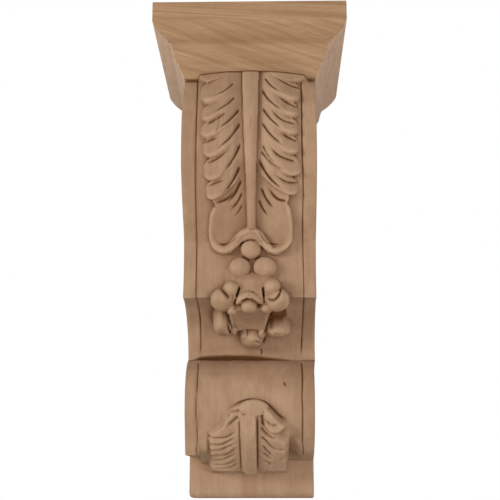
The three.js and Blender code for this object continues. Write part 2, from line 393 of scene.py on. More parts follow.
# %% [markdown]
# ## Balls and sheets
#
# Each place looks straight out of the wood, and where its ray meets a ball it is raised to it. So a ball
# stays round where the front turns under. A sheet is raised inside an outline, with a slope round its
# edge.

# %% Ball and sheet
HIGHEST_BOSS = 24.0
BOSS_END = crevice_down - 9


def ball(x, depth, level, radii):
    """An oval boss with its middle at a place in space, met along the way out of the wood."""
    apart = (base - np.array([depth, level])) / radii[1:]
    ray = out / radii[1:]
    a = (ray ** 2).sum(-1)
    b = (apart * ray).sum(-1)
    c = ((X - x) / radii[0]) ** 2 + (apart ** 2).sum(-1) - 1
    met = b * b - a * c
    raised = (np.sqrt(np.maximum(met, 0)) - b) / a
    raise_to(..., raised, (met > 0) & (raised < HIGHEST_BOSS) & (DOWN < BOSS_END))


def over_ground(x, down, lift):
    """A place over the plain front, as x, distance from the wall and height."""
    row = np.searchsorted(downs, down)
    depth, level = wood_at[row] + lift * out_at[row]
    return x, depth, level


def inside(outline):
    """Which places of the grid lie inside an outline."""
    found = np.zeros(X.shape, bool)
    for (x0, d0), (x1, d1) in zip(outline, np.roll(outline, -1, axis=0)):
        if d0 != d1:
            crossing = x0 + (DOWN - d0) / (d1 - d0) * (x1 - x0)
            found ^= ((d0 > DOWN) != (d1 > DOWN)) & (X < crossing)
    return found


def plateau(outline, lift, slope):
    """A raised sheet inside an outline, with a slope of this width round its edge."""
    closed = np.array(list(outline) + [outline[0]])
    patch, _, aside = near(closed, slope)
    within = inside(closed)[patch]
    rise = smooth(0, slope, np.abs(aside)) * np.broadcast_to(lift, X.shape)[patch]
    raise_to(patch, rise, within)


print(f"balls and sheets, up to {HIGHEST_BOSS:.0f} mm proud")

# %% [markdown]
# ## Border lines
#
# A thin line is scribed down each side, a finger's width in from the edge, and the ground inside it lies
# a little lower. The lines are cut first, so that the leaf runs over them. A hand wobbles, so each line
# runs through a few stops that are set off by seeded chance. A painted line would be simpler, but a true
# cut catches the light.

# %% Border lines
BORDER_X = 38.4
BORDER_WOBBLE = 0.35
BORDER_STOPS = 9
BORDER_SCRIBER = dict(width=1.5, depth=1.5, fades=(0.03, 0.03))
GROUND_SINK = 0.5
SINK_FADE = 12.0
UPPER_LINE = (-4.0, crevice_down - 2)
ROLL_LINE_START = crevice_down + 10
ROLL_LINE_END = 350.0
ROLL_LINE_SHIFT = -0.8
RIGHT_LINE_LONGER = 7.0
rng = np.random.default_rng(7)

sunk = smooth(0, 1, BORDER_X - np.abs(X)) * (1 - smooth(-SINK_FADE, 0, DOWN - ROLL_LINE_END))
height -= GROUND_SINK * sunk
for side in (-1, 1):
    roll_line = (ROLL_LINE_START, ROLL_LINE_END + RIGHT_LINE_LONGER * (side > 0))
    for (start, end), shift in ((UPPER_LINE, 0), (roll_line, ROLL_LINE_SHIFT)):
        stops = np.linspace(start, end, BORDER_STOPS)
        wobble = rng.normal(shift, BORDER_WOBBLE, len(stops))
        cut(np.column_stack([side * BORDER_X + wobble, stops]), **BORDER_SCRIBER)
print(f"border lines {BORDER_X} mm each side of the middle")

# %% [markdown]
# ## The upper leaf
#
# The leaf has six lobes on each side of its stem, under one that the cap cuts short. They leave the stem
# steeply and droop outwards, and each one stands a little over the next. The tips are placed a little
# uneven, as a carver leaves them. Near the stem the lobes are one surface, which rises from a flute
# beside the stem to a crest and falls again. Meshes of their own would show where they meet, so all the
# lobes are raised from the one front.

# %% Upper leaf
LEFT_TIPS = [(-35.5, 23.5), (-34.5, 40), (-35, 53), (-33, 67), (-32.5, 83), (-31, 97)]
RIGHT_TIPS = [(36.5, 22.5), (35.5, 37), (35.5, 51), (35.5, 65), (37, 80), (35, 94)]
CUT_LOBES = [
    [(-37.8, -2), (-37.8, 6), (-31, 11.5), (-20, 8), (-10, -2)],
    [(41.4, -2), (41.4, 4.5), (37, 9.5), (29, 11.5), (19, 7), (10, -2)],
]
CUT_LOBE_SLOPE = 1.4
CUT_LOBE_RAISE = 0.6
TOP_LOBE_SPACE = 22.0
LAST_LOBE_SPACE = 11.0
LOBE_DROP = 27.0
LOBE_BEND = 6.0
LOBE_ROOT_X = 4.5
LOBE_BEND_X = 18.0
# Each stop is a distance from the middle, and the height of the leaf there.
LEAF_RISE = [(4, 1.8), (8, 2.8), (12, 4.8), (17, 6.2), (24, 5.8), (31, 4.6), (38, 3.6)]

for tips in (LEFT_TIPS, RIGHT_TIPS):
    side = np.sign(tips[0][0])
    before = [tips[0][1] - TOP_LOBE_SPACE] + [down for _, down in tips]
    after = [down for _, down in tips[1:]] + [tips[-1][1] + LAST_LOBE_SPACE]
    for (x, down), above, below in zip(tips, before, after):
        root = (side * LOBE_ROOT_X, down - LOBE_DROP)
        bend = (side * LOBE_BEND_X, down - LOBE_BEND)
        lobe(root, bend, (x, down), (below - above) / 4, LEAF_RISE)
for outline in CUT_LOBES:
    plateau(outline, graded(np.abs(X), LEAF_RISE) + CUT_LOBE_RAISE, CUT_LOBE_SLOPE)
print(f"upper leaf: {len(LEFT_TIPS + RIGHT_TIPS)} lobes, up to {height.max():.1f} mm proud")

# %% [markdown]
# ## The leaf's tip
#
# Below the lobes the leaf ends in two smooth cups inside one rolled rim, which arches over the top
# berry. The cups slope down from the rim to the stem, so one is in the light and one in the shade.
# The rim is a thin edge at the sides and a thick lip at the bottom, with a face under its arch. A curve
# with a bevel could be the rim, but it would lie on the wood instead of growing out of it.

# %% Leaf tip
RIM = [
    (-18.1, 102.9), (-23.4, 105), (-26.3, 108.8), (-27.5, 114.6), (-27.7, 122.6), (-26.5, 129.9),
    (-23.2, 135.8), (-17.9, 137.6), (-12.6, 133.9), (-9.2, 128.3), (-5.2, 123.6), (0.8, 121.4),
    (6, 123.5), (9.9, 129.6), (14.5, 137), (18.5, 138.8), (23.8, 136), (27.8, 131.1),
    (29.1, 122.9), (28.9, 113.6), (27.8, 105.9), (24, 101),
]
LIP_FACE = [(-13, 136.5), (-8, 129.5), (-3, 126), (0.8, 125), (5, 126.4), (9.5, 132), (14, 138.5)]
LIP_FACE_WIDTHS = (4.0, 7.0, 8.0, 7.0, 4.0)
LIP_FACE_LIFTS = (5.0, 5.4, 5.6, 5.4, 5.0)
LIP_FACE_ROUND = 0.2
RIM_WIDTHS = (2.4, 3.2, 3.4, 6.6, 7.0, 5.4, 4.6, 5.0, 5.8, 4.6, 2.6, 2.2)
RIM_LIFTS = (3.6, 4.2, 4.6, 5.8, 6.2, 6.0, 6.2, 6.6, 7.0, 5.4, 4.4, 3.8)
CUP_TOP = [(26.6, 103.6), (28.4, 98), (20, 84), (6, 72), (-6, 72), (-16, 86), (-27, 99.5), (-24, 105)]
CUP_FLOOR = 1.8
CUP_SLOPE = 2.8
CUP_MIDDLE = 1.0
CUP_HALF_WIDTH = 27.0
CUP_POWER = 1.4
LIP_CHISEL = dict(width=1.8, depth=1.3)
LIP_LINES = [
    [(4.7, 118.4), (8, 124.7), (11.9, 131.2), (17.2, 133.4), (23.5, 133)],
    [(-24.5, 131.5), (-21, 133.2), (-16, 132.6), (-11.5, 129), (-7.2, 123.6)],
]

cups = inside(np.vstack([route(RIM), CUP_TOP]))
cup_rise = CUP_FLOOR + CUP_SLOPE * (np.abs(X - CUP_MIDDLE) / CUP_HALF_WIDTH) ** CUP_POWER
raise_to(..., cup_rise, cups)
ridge(LIP_FACE, LIP_FACE_WIDTHS, LIP_FACE_LIFTS, LIP_FACE_ROUND)
ridge(RIM, RIM_WIDTHS, RIM_LIFTS)
for line in LIP_LINES:
    cut(line, **LIP_CHISEL)
print(f"leaf tip: rim through {len(RIM)} points")

# %% [markdown]
# ## Veins and stem
#
# Each lobe gets a long chisel cut from the stem outwards, and a crease parts it from the next one. A short
# cut is also narrower and shallower, as the corner of a chisel leaves it. They are cut when the lobes and
# cups are shaped, and the half-round stem is laid over their inner ends.

# %% Veins and stem
STEM_END = 119.5
STEM_ROUND = 3.6
STEM_CENTRES = [(0, 0.6), (STEM_END, 1.1)]
STEM_HALVES = [(0, 6.2), (45, 5.2), (86, 3.7), (STEM_END, 3.1)]
STEM_LIFTS = [(0, 8.4), (60, 7.4), (STEM_END, 6.4)]
STEM_NICK = [(0.4, 41), (1.4, 45), (0.8, 52)]
LOBE_CRACK = [(-23.1, 40), (-21.3, 43.6), (-22.9, 50.8), (-23.6, 55.4)]
CRACK_CHISEL = dict(width=1.3, depth=0.8)
NICK_CHISEL = dict(width=1.2, depth=0.7)
VEIN_WIDTH = 5.2
VEIN_DEPTH = 3.5
VEIN_FADES = (0.15, 0.4)
LONG_VEIN = 24.0
LEFT_VEINS = [
    [(-11, 11.5), (-27, 24.5)], [(-10, 22.5), (-27, 38)], [(-7, 32), (-25, 52.5)],
    [(-6, 43), (-25, 67)], [(-6, 59), (-21.5, 84.5)], [(-6.5, 75.5), (-21, 97.5)],
    [(-5.5, 85.5), (-17, 103)], [(-5, 94.5), (-14, 107.5)], [(-5, 103), (-11.5, 112)],
]
RIGHT_VEINS = [
    [(10.5, 6.5), (24.5, 23)], [(8.5, 16.5), (26, 39)], [(9, 31.5), (25.5, 53)],
    [(8.5, 43.5), (26, 64)], [(9, 60.5), (20, 77)], [(7.5, 64.5), (27, 81.5)], [(6, 71), (26, 95)],
    [(8, 91), (18, 107)], [(6, 99.5), (14, 112)],
]
LEFT_GOUGE = dict(width=4.8, depth=2.8, fades=(0.5, 0.3), soft=True)
RIGHT_GOUGE = dict(width=4.8, depth=3.4, fades=(0.45, 0.2), soft=True)
LEFT_CREASES = [
    [(-14, 36.5), (-32, 46.5)], [(-20, 55.5), (-34, 59.4)], [(-9, 60), (-21.5, 70.5), (-32, 74.5)],
    [(-15, 85), (-31, 90.5)], [(-9, 91.5), (-16, 99), (-26, 102.5)],
]
RIGHT_CREASES = [
    [(14, 3.5), (28, 12.5), (38, 14.5)], [(15, 19), (27.5, 28.5), (36, 31)],
    [(14, 33), (23, 43), (35, 45.5)], [(21, 53), (35, 59)], [(12.5, 60), (21, 69.5), (35, 74)],
    [(16, 81), (26, 87.5), (35.5, 88.5)], [(12, 90), (19.5, 99), (27, 101)],
]


def bowed(start, end, bow=0.08):
    """A chisel cut from start to end that sags a little on its way."""
    (x0, d0), (x1, d1) = start, end
    middle = ((x0 + x1) / 2 - bow * (x1 - x0), (d0 + d1) / 2 + bow * abs(x1 - x0))
    return [start, middle, end]


for start, end in LEFT_VEINS + RIGHT_VEINS:
    size = min(1, math.dist(start, end) / LONG_VEIN)
    cut(bowed(start, end), VEIN_WIDTH * size, VEIN_DEPTH * size, VEIN_FADES, soft=True)
for creases, gouge in ((LEFT_CREASES, LEFT_GOUGE), (RIGHT_CREASES, RIGHT_GOUGE)):
    for crease in creases:
        cut(crease, **gouge)

stem_aside = (X - graded(DOWN, STEM_CENTRES)) / graded(DOWN, STEM_HALVES)
stem_section = np.sqrt(np.clip(1 - stem_aside ** 2, 0, 1))
stem_rise = graded(DOWN, STEM_LIFTS) - STEM_ROUND * (1 - stem_section)
raise_to(..., stem_rise, (stem_section > 0) & (DOWN < STEM_END))
cut(STEM_NICK, **NICK_CHISEL)
cut(LOBE_CRACK, **CRACK_CHISEL)
print(f"{len(LEFT_VEINS + RIGHT_VEINS)} veins, {len(LEFT_CREASES + RIGHT_CREASES)} creases")

# %% [markdown]
# ## Berries and petals
#
# Three round berries hang under the leaf. The flower sits over the nose: two round petals with smaller
# ones over them, a flat web, and a lipped middle with a small ball and an ear each side of it. Under the
# nose are one more petal on each side, and a knob with small curls. Spheres stuck on could look alike, but
# these are one wood with the front, so they are balls that it is raised to.

# %% Berries and petals
# Each berry is x, distance down and radius.
BERRIES = [(0.6, 137.2, 7.8), (-7.4, 150.8, 8.0), (10.5, 150.9, 8.5)]
BERRY_LIFT = -0.4
WEB_LIFT = 6.4
WEB_TOP = (151, 164)
WEB_EDGES = (-18.0, 19.0)
WEB_EDGE_SLOPE = 7.0
WEB_END = nose_down + 6
WEB_END_SLOPE = 4.0
MIDDLE_LIP = [
    (-9.4, 175.6), (-7.4, 173), (-4.8, 171.8), (-0.6, 171.2), (3, 171.8), (5.6, 173.2), (8.4, 175.6),
]
MIDDLE_LIP_WIDTHS = (2.2, 2.6, 3.2, 2.6, 2.2)
MIDDLE_LIP_LIFTS = (7.4, 8.2, 8.6, 8.2, 7.4)
# Each is x, distance from the wall, height and radii.
PETALS = {
    "left round petal": (-19.7, 124.5, -40.6, (8.5, 9.4, 8.4)),
    "left upper petal": (-13.4, 126, -33.6, (6.0, 9.0, 6.2)),
    "right round petal": (19.4, 124.5, -40.8, (8.7, 9.4, 8.6)),
    "right upper petal": (15.6, 126.6, -32.2, (6.3, 9.3, 6.5)),
    "left low petal": (-21.6, 94, -52.4, (6.2, 13, 8.0)),
    "right low petal": (19.8, 83.4, -55, (9.6, 7.0, 5.4)),
    "knob": (0.4, 78, -60.6, (8.2, 12, 7)),
    "curl of the left low petal": (-18.4, 90.4, -56.4, (4.6, 11, 4.2)),
    "curl beside it": (-12.8, 86, -56.4, (3.0, 9, 3.2)),
    "left curl of the knob": (-5.0, 81, -60, (3.4, 10, 3.2)),
    "right curl of the knob": (7.8, 82, -58.6, (3.2, 10, 3.2)),
    "middle ball": (-0.7, 124, -45.6, (5.8, 7.6, 4.8)),
    "right ear": (11.6, 121.6, -46.8, (5.2, 5.6, 3.0)),
    "left ear": (-13, 122, -48.2, (3.8, 6.0, 3.0)),
}

for x, down, radius in BERRIES:
    ball(*over_ground(x, down, BERRY_LIFT), (radius, radius, radius))
web = smooth(*WEB_TOP, DOWN) * smooth(0, WEB_END_SLOPE, WEB_END - DOWN)
web *= smooth(0, WEB_EDGE_SLOPE, X - WEB_EDGES[0]) * smooth(0, WEB_EDGE_SLOPE, WEB_EDGES[1] - X)
raise_to(..., WEB_LIFT * web, web > 0)
for petal in PETALS.values():
    ball(*petal)
ridge(MIDDLE_LIP, MIDDLE_LIP_WIDTHS, MIDDLE_LIP_LIFTS)
print(f"{len(BERRIES)} berries and {len(PETALS)} petals, up to {height.max():.1f} mm proud")

# %% [markdown]
# ## The flower's shield
#
# A shield hangs from the nose between the low petals. It narrows downwards, its sides are bevelled, its
# face is a little hollow, and a thin rim stands up on its left. A bent plate would need fitting to the
# nose, but a lift of the same surface turns under with it.

# %% Shield
SHIELD_TOP = nose_down + 2.0
SHIELD_END = nose_down + 42.5
SHIELD_END_SLOPES = (3.0, 2.0)
SHIELD_MIDDLE = -0.4
SHIELD_HALVES = [(SHIELD_TOP, 16.2), (SHIELD_END, 13.6)]
SHIELD_BEVELS = [(SHIELD_TOP, 1.0), (SHIELD_END, 4.4)]
SHIELD_LIFT = 10.4
SHIELD_HOLLOW = 1.2
SHIELD_HOLLOW_SLOPE = (1.0, 5.0)
SHIELD_RIM = [(-14.6, 180), (-14.2, 190), (-13.4, 202), (-12.8, 214), (-13.4, 220)]
SHIELD_RIM_WIDTHS = (2.4, 2.8, 2.4)
SHIELD_RIM_LIFTS = (9.6, 10.8, 10.8, 10.4, 8)

shield_inside = graded(DOWN, SHIELD_HALVES) - np.abs(X - SHIELD_MIDDLE)
shield_bevel = graded(DOWN, SHIELD_BEVELS)
shield = smooth(0, 1, shield_inside / shield_bevel)
shield *= smooth(0, SHIELD_END_SLOPES[0], DOWN - SHIELD_TOP)
shield *= smooth(0, SHIELD_END_SLOPES[1], SHIELD_END - DOWN)
shield_dip = SHIELD_HOLLOW * smooth(*SHIELD_HOLLOW_SLOPE, shield_inside - shield_bevel)
raise_to(..., (SHIELD_LIFT - shield_dip) * shield, shield > 0)
ridge(SHIELD_RIM, SHIELD_RIM_WIDTHS, SHIELD_RIM_LIFTS)
print(f"shield {SHIELD_END - SHIELD_TOP:.0f} mm long")

# %% [markdown]
# ## Slits between the petals
#
# The slits and small grooves are cut when all the forms stand, because most of them part two of those. The
# right low petal is left rough, as where the grain tore. Its roughness is seeded noise, blurred a little
# so that the mesh can show it.

# %% Slits and the rough petal
FLOWER_FADES = (0.2, 0.2)
# Each cut is its line, width and depth.
FLOWER_CUTS = [
    ([(-7.3, 167), (-8.7, 170.2), (-9.7, 173)], 2.0, 6.5),
    ([(9.4, 167.2), (9.6, 170.4), (9.9, 173.4)], 2.0, 6.5),
    ([(-9.9, 172.6), (-10.8, 175.6), (-11.2, 178)], 1.8, 3.0),
    ([(9.9, 173), (10.2, 174.4), (10.4, 175.6)], 1.6, 2.4),
    ([(-21.6, 167), (-19, 169.6), (-16.8, 171.2), (-13.8, 172.8)], 2.2, 3.8),
    ([(11.5, 172.8), (16.7, 173.2), (21, 170.9), (21.8, 167)], 2.0, 3.0),
    ([(-7.4, 172.3), (-4.1, 170.4), (-0.6, 169.8), (2.9, 170.4), (6, 172.3)], 1.4, 1.0),
    ([(-5.6, 174.6), (-3, 173.5), (-0.6, 172.9)], 2.0, 1.6),
    ([(-0.6, 169.6), (-0.6, 172.4)], 1.2, 0.8),
    ([(5.2, 176.6), (6.4, 178.6)], 2.6, 4.0),
    ([(-17.8, 190), (-16.8, 202), (-15.4, 212), (-16.4, 219)], 1.9, 5.5),
    ([(16.8, 182), (15.8, 192), (14.4, 204), (13.6, 212)], 3.4, 7.5),
    ([(14.6, 203), (19, 203.4), (26.5, 204.4)], 7.0, 6.0),
    ([(-9.6, 214.4), (-8.4, 219.4)], 3.4, 9.0),
    ([(9.4, 214.2), (10.4, 219)], 3.4, 9.0),
    ([(10, 218.6), (10, 227.1), (9, 239.3)], 2.2, 2.2),
    ([(2.6, 221), (5.8, 227.5), (8.3, 234)], 1.8, 3.0),
]
# The rough place is x, distance down, half its width and half its length.
ROUGH_PETAL = (20, 217, 8.0, 8.0)
ROUGH_CORE = 0.6
ROUGHNESS = 0.9
ROUGH_BLUR = 1


def oval(x, down, half_x, half_down, core):
    """1 in the core of an oval place on the front, fading to 0 at its edge."""
    return 1 - smooth(core, 1, np.hypot((X - x) / half_x, (DOWN - down) / half_down))


def blur(values, sigma):
    """An even blur over the grid, by rows and then by columns."""
    reach = int(3 * sigma)
    weights = np.exp(-0.5 * (np.arange(-reach, reach + 1) / sigma) ** 2)
    weights /= weights.sum()
    for axis in (0, 1):
        padded = np.pad(values, [(reach, reach) if a == axis else (0, 0) for a in (0, 1)], mode="edge")
        values = np.apply_along_axis(lambda row: np.convolve(row, weights, mode="valid"), axis, padded)
    return values


for points, width, depth in FLOWER_CUTS:
    cut(points, width, depth, FLOWER_FADES)
height += ROUGHNESS * blur(rng.normal(0, 1, X.shape), ROUGH_BLUR) * oval(*ROUGH_PETAL, ROUGH_CORE)
print(f"{len(FLOWER_CUTS)} slits, down to {height.min():.1f} mm")

# %% [markdown]
# ## The ground under the lower leaf
#
# Inside the lower leaf the front moves from the roll to the hanging tongue. On the left the border was
# left square under the roll, and the wood between it and the leaf was never cleared, so it lies halfway.
# On the right the ground is cut away deeper. The ground is moved before the leaf is carved, so that the
# leaf is again only a low relief.

# %% Ground of the lower leaf
LEAF_LEFT = -31.8
LEAF_RIGHT = 26.8
HANG_SOFT = 1.0
TONGUE_REACH = 6.0
UNCLEARED_LEFT = -38.4
UNCLEARED_SOFT = 0.5
UNCLEARED_SHARE = 0.5
UNCLEARED_FROM = (leave_down - 1, leave_down + 16)
UNCLEARED_SINK = 0.4
UNCLEARED_SINK_ENDS = (leave_down + 40, foot_down)
BAND_LEAVES = math.radians(-12)
BAND_CORNER = (82.0, -147.0)
BAND_FOOT = (BLOCK_DEPTH, BLOCK_TOP + 2.6)
BAND_REACH = 1.0
BAND_EASE = 2.0
RECESS_DEPTH = 4.0
RECESS_LEFT = (26.8, 28.4)
RECESS_RIGHT = (30.0, 37.5)
RECESS_TOP = (315, 345)
RECESS_FOOT = (358, 380)

band_start = ground.down_to(on_roll(BAND_LEAVES))
block_down = ground.down_to((BLOCK_DEPTH, BLOCK_TOP))
squared = Line(straight(ground.at(band_start), BAND_CORNER), straight(BAND_CORNER, BAND_FOOT))
band_at = detour(squared, band_start, block_down)


def follow(place_at, share, reach, sink=0.0):
    """Moves the front over to another line, by a share at each place of the grid."""
    there, way = place_at(downs), outward(place_at, downs, reach)
    goal = there[:, None, :] - np.atleast_1d(sink)[..., None] * way[:, None, :]
    base[:] += share[..., None] * (goal - base)
    out[:] += share[..., None] * (way[:, None, :] - out)


follow(band_at, (1 - past(X, LEAF_LEFT)) * (DOWN > band_start - BAND_EASE), BAND_REACH)
uncleared = UNCLEARED_SHARE * smooth(*UNCLEARED_FROM, DOWN)
uncleared *= past(X, UNCLEARED_LEFT, UNCLEARED_SOFT) * (X < LEAF_LEFT)
sink = UNCLEARED_SINK * (1 - smooth(*UNCLEARED_SINK_ENDS, DOWN))
follow(tongue_at, uncleared, TONGUE_REACH, sink)
hangs = past(X, LEAF_LEFT) * (1 - past(X, LEAF_RIGHT)) * past(DOWN, leave_down, HANG_SOFT)
follow(tongue_at, hangs, TONGUE_REACH)
recess = smooth(*RECESS_LEFT, X) * (1 - smooth(*RECESS_RIGHT, X))
recess *= smooth(*RECESS_TOP, DOWN) * (1 - smooth(*RECESS_FOOT, DOWN))
height -= RECESS_DEPTH * recess
print(f"squared band from {band_start:.0f} to {block_down:.0f} mm down")

# %% [markdown]
# ## The lower leaf
#
# The leaf has a stem with one bevelled side and a curled tip, rounded ribs on the left and flatter lobes on
# the right. It is carved as the upper leaf is: a raised sheet, grooves that part the ribs, and the stem
# and its curl laid over them.

# %% Lower leaf
LEAF_LEFT_EDGE = [
    (-0.6, 300.2), (-6.3, 301.4), (-10.7, 303.2), (-15, 305.4), (-18, 308.4), (-19.6, 312), (-21, 316),
    (-24.4, 319.4), (-28.6, 322.6), (-31.2, 327), (LEAF_LEFT, 334), (LEAF_LEFT, 346),
]
LEAF_RIGHT_EDGE = [
    (LEAF_LEFT, 370), (26.7, 370), (26.7, 331), (22.3, 327.5), (18, 322), (9, 316), (10, 303), (5.2, 300.7),
]
RIGHT_TIP = [
    (7.5, 304), (10.5, 302.8), (15.2, 306.9), (18.6, 310.6), (21.7, 313.4), (25.4, 315.2), (27, 317.2),
    (26, 319.4), (23.4, 321.6), (20.4, 323.6), (16, 324), (12.3, 323.2), (9, 319), (7.5, 312),
]
RIGHT_TIP_LIFT = 7.2
LOW_RISE = [(4, 2.4), (9, 3.4), (16, 4.4), (24, 4.0), (30, 3.2)]
LEAF_SLOPE = 2.8
LEFT_RIB_GOUGE = dict(width=7.0, depth=3.4, fades=(0.02, 0.3), soft=True)
RIGHT_RIB_GOUGE = dict(width=5.4, depth=3.0, fades=(0.1, 0.2), soft=True)
LEFT_GROOVES = [
    [(-8.4, 307.8), (-13.5, 308.1), (-15.6, 310), (-18.5, 315)],
    [(-9.2, 311.6), (-12.8, 314.5), (-17.6, 318.5)],
    [(-31.2, 327.8), (-20.9, 327.2), (-16.6, 325.7), (-10.2, 321)],
    [(-31.2, 335.0), (-22, 333.6), (-16.4, 330), (-10, 325.7)],
    [(-31.2, 341.2), (-23.5, 339.6), (-18.2, 336.5), (-10.1, 330)],
    [(-31.2, 348.0), (-20, 346), (-15.5, 342.1), (-9.6, 335)],
    [(-31.2, 355.8), (-22.3, 352), (-17.1, 348.6), (-9.6, 340.8)],
    [(-31.2, 361.5), (-20.4, 358.8), (-15.9, 356), (-9.6, 348.8)],
    [(-31.2, 367.2), (-16.8, 363), (-9.6, 356)],
]
RIGHT_GROOVES = [
    [(8.7, 312.4), (11.6, 314.6), (15.2, 316.6), (20.9, 317)],
    [(7, 318.4), (10.1, 322.8), (13.7, 325.8), (19.2, 328.8)],
    [(7, 325.5), (11.5, 331), (15.1, 336.2), (20.5, 341)],
    [(8, 334.4), (11.4, 340.9), (15.4, 347.2)], [(8, 342.6), (12.1, 348.1), (15.6, 350.5)],
    [(8.4, 353.4), (12.1, 355.9), (15, 360.2)], [(20, 338.8), (27, 339.3)], [(21, 351.4), (27, 351.8)],
]
TIP_LINE = [
    (-17.5, 307.4), (-15, 305), (-10.7, 303), (-6.3, 300.8), (-0.6, 299.6), (5.2, 300.1), (10.2, 301.8),
    (15.4, 306.1), (18.9, 309.9), (22, 312.6), (26.4, 314.8),
]
TIP_CHISEL = dict(width=1.8, depth=1.4, fades=(0.3, 0.1))
LOW_STEM_SECTION = [(-7.6, 2.4), (-3.9, 5.6), (3.3, 5.3), (4.0, 2.2)]
LOW_STEM_ENDS = (310.5, 369.5)
LOW_STEM_LINES = [[(4.6, 312), (4.4, 340), (4.2, 368)], [(-8.4, 313), (-8.2, 340), (-8.0, 368)]]
LOW_STEM_CHISEL = dict(width=1.8, depth=1.6, fades=(0.05, 0.02))
CURL_PLACE = (2.3, 305.8)
CURL_HALVES = (10.6, 5.8)
CURL_BASE = 3.4
CURL_ROUND = 3.4

leaf_outline = [*route(LEAF_LEFT_EDGE), *LEAF_RIGHT_EDGE]
plateau(leaf_outline, graded(np.abs(X), LOW_RISE), LEAF_SLOPE)
plateau(RIGHT_TIP, RIGHT_TIP_LIFT, LEAF_SLOPE)
for grooves, gouge in ((LEFT_GROOVES, LEFT_RIB_GOUGE), (RIGHT_GROOVES, RIGHT_RIB_GOUGE)):
    for groove in grooves:
        cut(groove, **gouge)
for line in LOW_STEM_LINES:
    cut(line, **LOW_STEM_CHISEL)
low_stem = np.interp(X, *np.transpose(LOW_STEM_SECTION), left=NOWHERE, right=NOWHERE)
raise_to(..., low_stem, (DOWN > LOW_STEM_ENDS[0]) & (DOWN < LOW_STEM_ENDS[1]))
curl_x, curl_down = (X - CURL_PLACE[0]) / CURL_HALVES[0], (DOWN - CURL_PLACE[1]) / CURL_HALVES[1]
curl = 1 - curl_x ** 2 - curl_down ** 2
raise_to(..., CURL_BASE + CURL_ROUND * np.sqrt(np.maximum(curl, 0)), curl > 0)
cut(TIP_LINE, **TIP_CHISEL)
print(f"lower leaf: {len(LEFT_GROOVES)} grooves on the left, {len(RIGHT_GROOVES)} on the right")

# %% [markdown]
# ## Crevice and tool marks
#
# The crevice over the roll is cut in deeper, along a slightly arched line. Two nicks where a chisel
# slipped, and slow ripples from the gouge, are left on the front. A bump in the shader could give the
# ripples too, but the heights of a mesh are kept wherever it goes.

# %% Crevice and tool marks
CREVICE_LINE = [
    (-46, 255.2), (-38.9, 250.2), (-19.4, 249), (5.7, 250), (26, 252.2), (41.6, 255.4), (46, 257.4),
]
CREVICE_SAW = dict(width=5.0, depth=6.0, fades=(0.05, 0.05))
NICKS = [[(23.8, 285), (24.6, 287), (25, 289.6)], [(6.6, 242), (7.6, 244), (7.4, 247)]]
SLIPPED_CHISEL = dict(width=2.4, depth=1.5)
RIPPLE_WAVES = 14
RIPPLE_ACROSS = 0.35
RIPPLE_DOWN = 0.16
RIPPLE_HEIGHT = 0.045
RIPPLE_EDGE = 3.0
FULL_TURN = 6.28

cut(CREVICE_LINE, **CREVICE_SAW)
for nick in NICKS:
    cut(nick, **SLIPPED_CHISEL)

ripple = np.zeros_like(X)
for _ in range(RIPPLE_WAVES):
    wave_x, wave_down = rng.normal(0, RIPPLE_ACROSS), rng.normal(0, RIPPLE_DOWN)
    ripple += np.sin(wave_x * X + wave_down * DOWN + rng.uniform(0, FULL_TURN))
height += RIPPLE_HEIGHT * ripple * smooth(0, RIPPLE_EDGE, BODY_HALF_WIDTH - np.abs(X))
print(f"front from {height.min():.1f} to {height.max():.1f} mm")

# %% [markdown]
# ## Painted shade and highlights
#
# Shade is painted into the wood's colour where cuts and hollows would hold it. A narrow cut is found by
# filling the surface as a putty knife would, a few cells wide, and broader hollows by comparing it with its
# own blur; both get painted shade. The gap under the cap, the crevice, the deepest holes of the flower and
# the two cups get painted shade by their place. What stands over the blur, and the edge of the nose, gets a
# painted highlight. Both are kept on the mesh for the wood's colour.

# %% Hollows
CUT_REACH = 1
CUT_FULL = 1.3
CUT_SHARE = 0.78
LOWER_LEAF_LESS_SHADE = 0.45
LOWER_LEAF_FROM = (290, 296)
BROAD_BLUR, BROAD_FULL, BROAD_SHARE = 14, 4.0, 0.36
LOBE_BLUR, LOBE_FULL, LOBE_SHARE = 5, 2.0, 0.2
TOP_SHADE = (0.6, 2.4)
CREVICE_SHADE = (0.4, 5.0)
# Each hole of painted shade is x, distance down, half its width and half its length.
DARK_HOLES = [
    (20.5, 207.5, 8.5, 5.6), (15, 208, 2.8, 8.0), (-8.8, 217.2, 1.8, 2.6), (9.9, 216.8, 1.8, 2.6),
    (5.8, 177.6, 1.4, 1.4),
]
HOLE_CORE = 0.4
CUP_SHADE = 0.26
CUP_BLUR = 3
HIGHLIGHT_BLUR, HIGHLIGHT_FULL = 3, 1.4
NOSE_HIGHLIGHT = 0.9
PLAIN_HEIGHT = 1.0


def widest(values, reach, chosen):
    """The highest or lowest value within a few cells of each place."""
    for axis in (0, 1):
        values = chosen.reduce([np.roll(values, step, axis) for step in range(-reach, reach + 1)])
    return values


def below_blur(sigma, full):
    """How far each place lies below the blurred front, as a share of a full depth."""
    return (blur(height, sigma) - height) / full
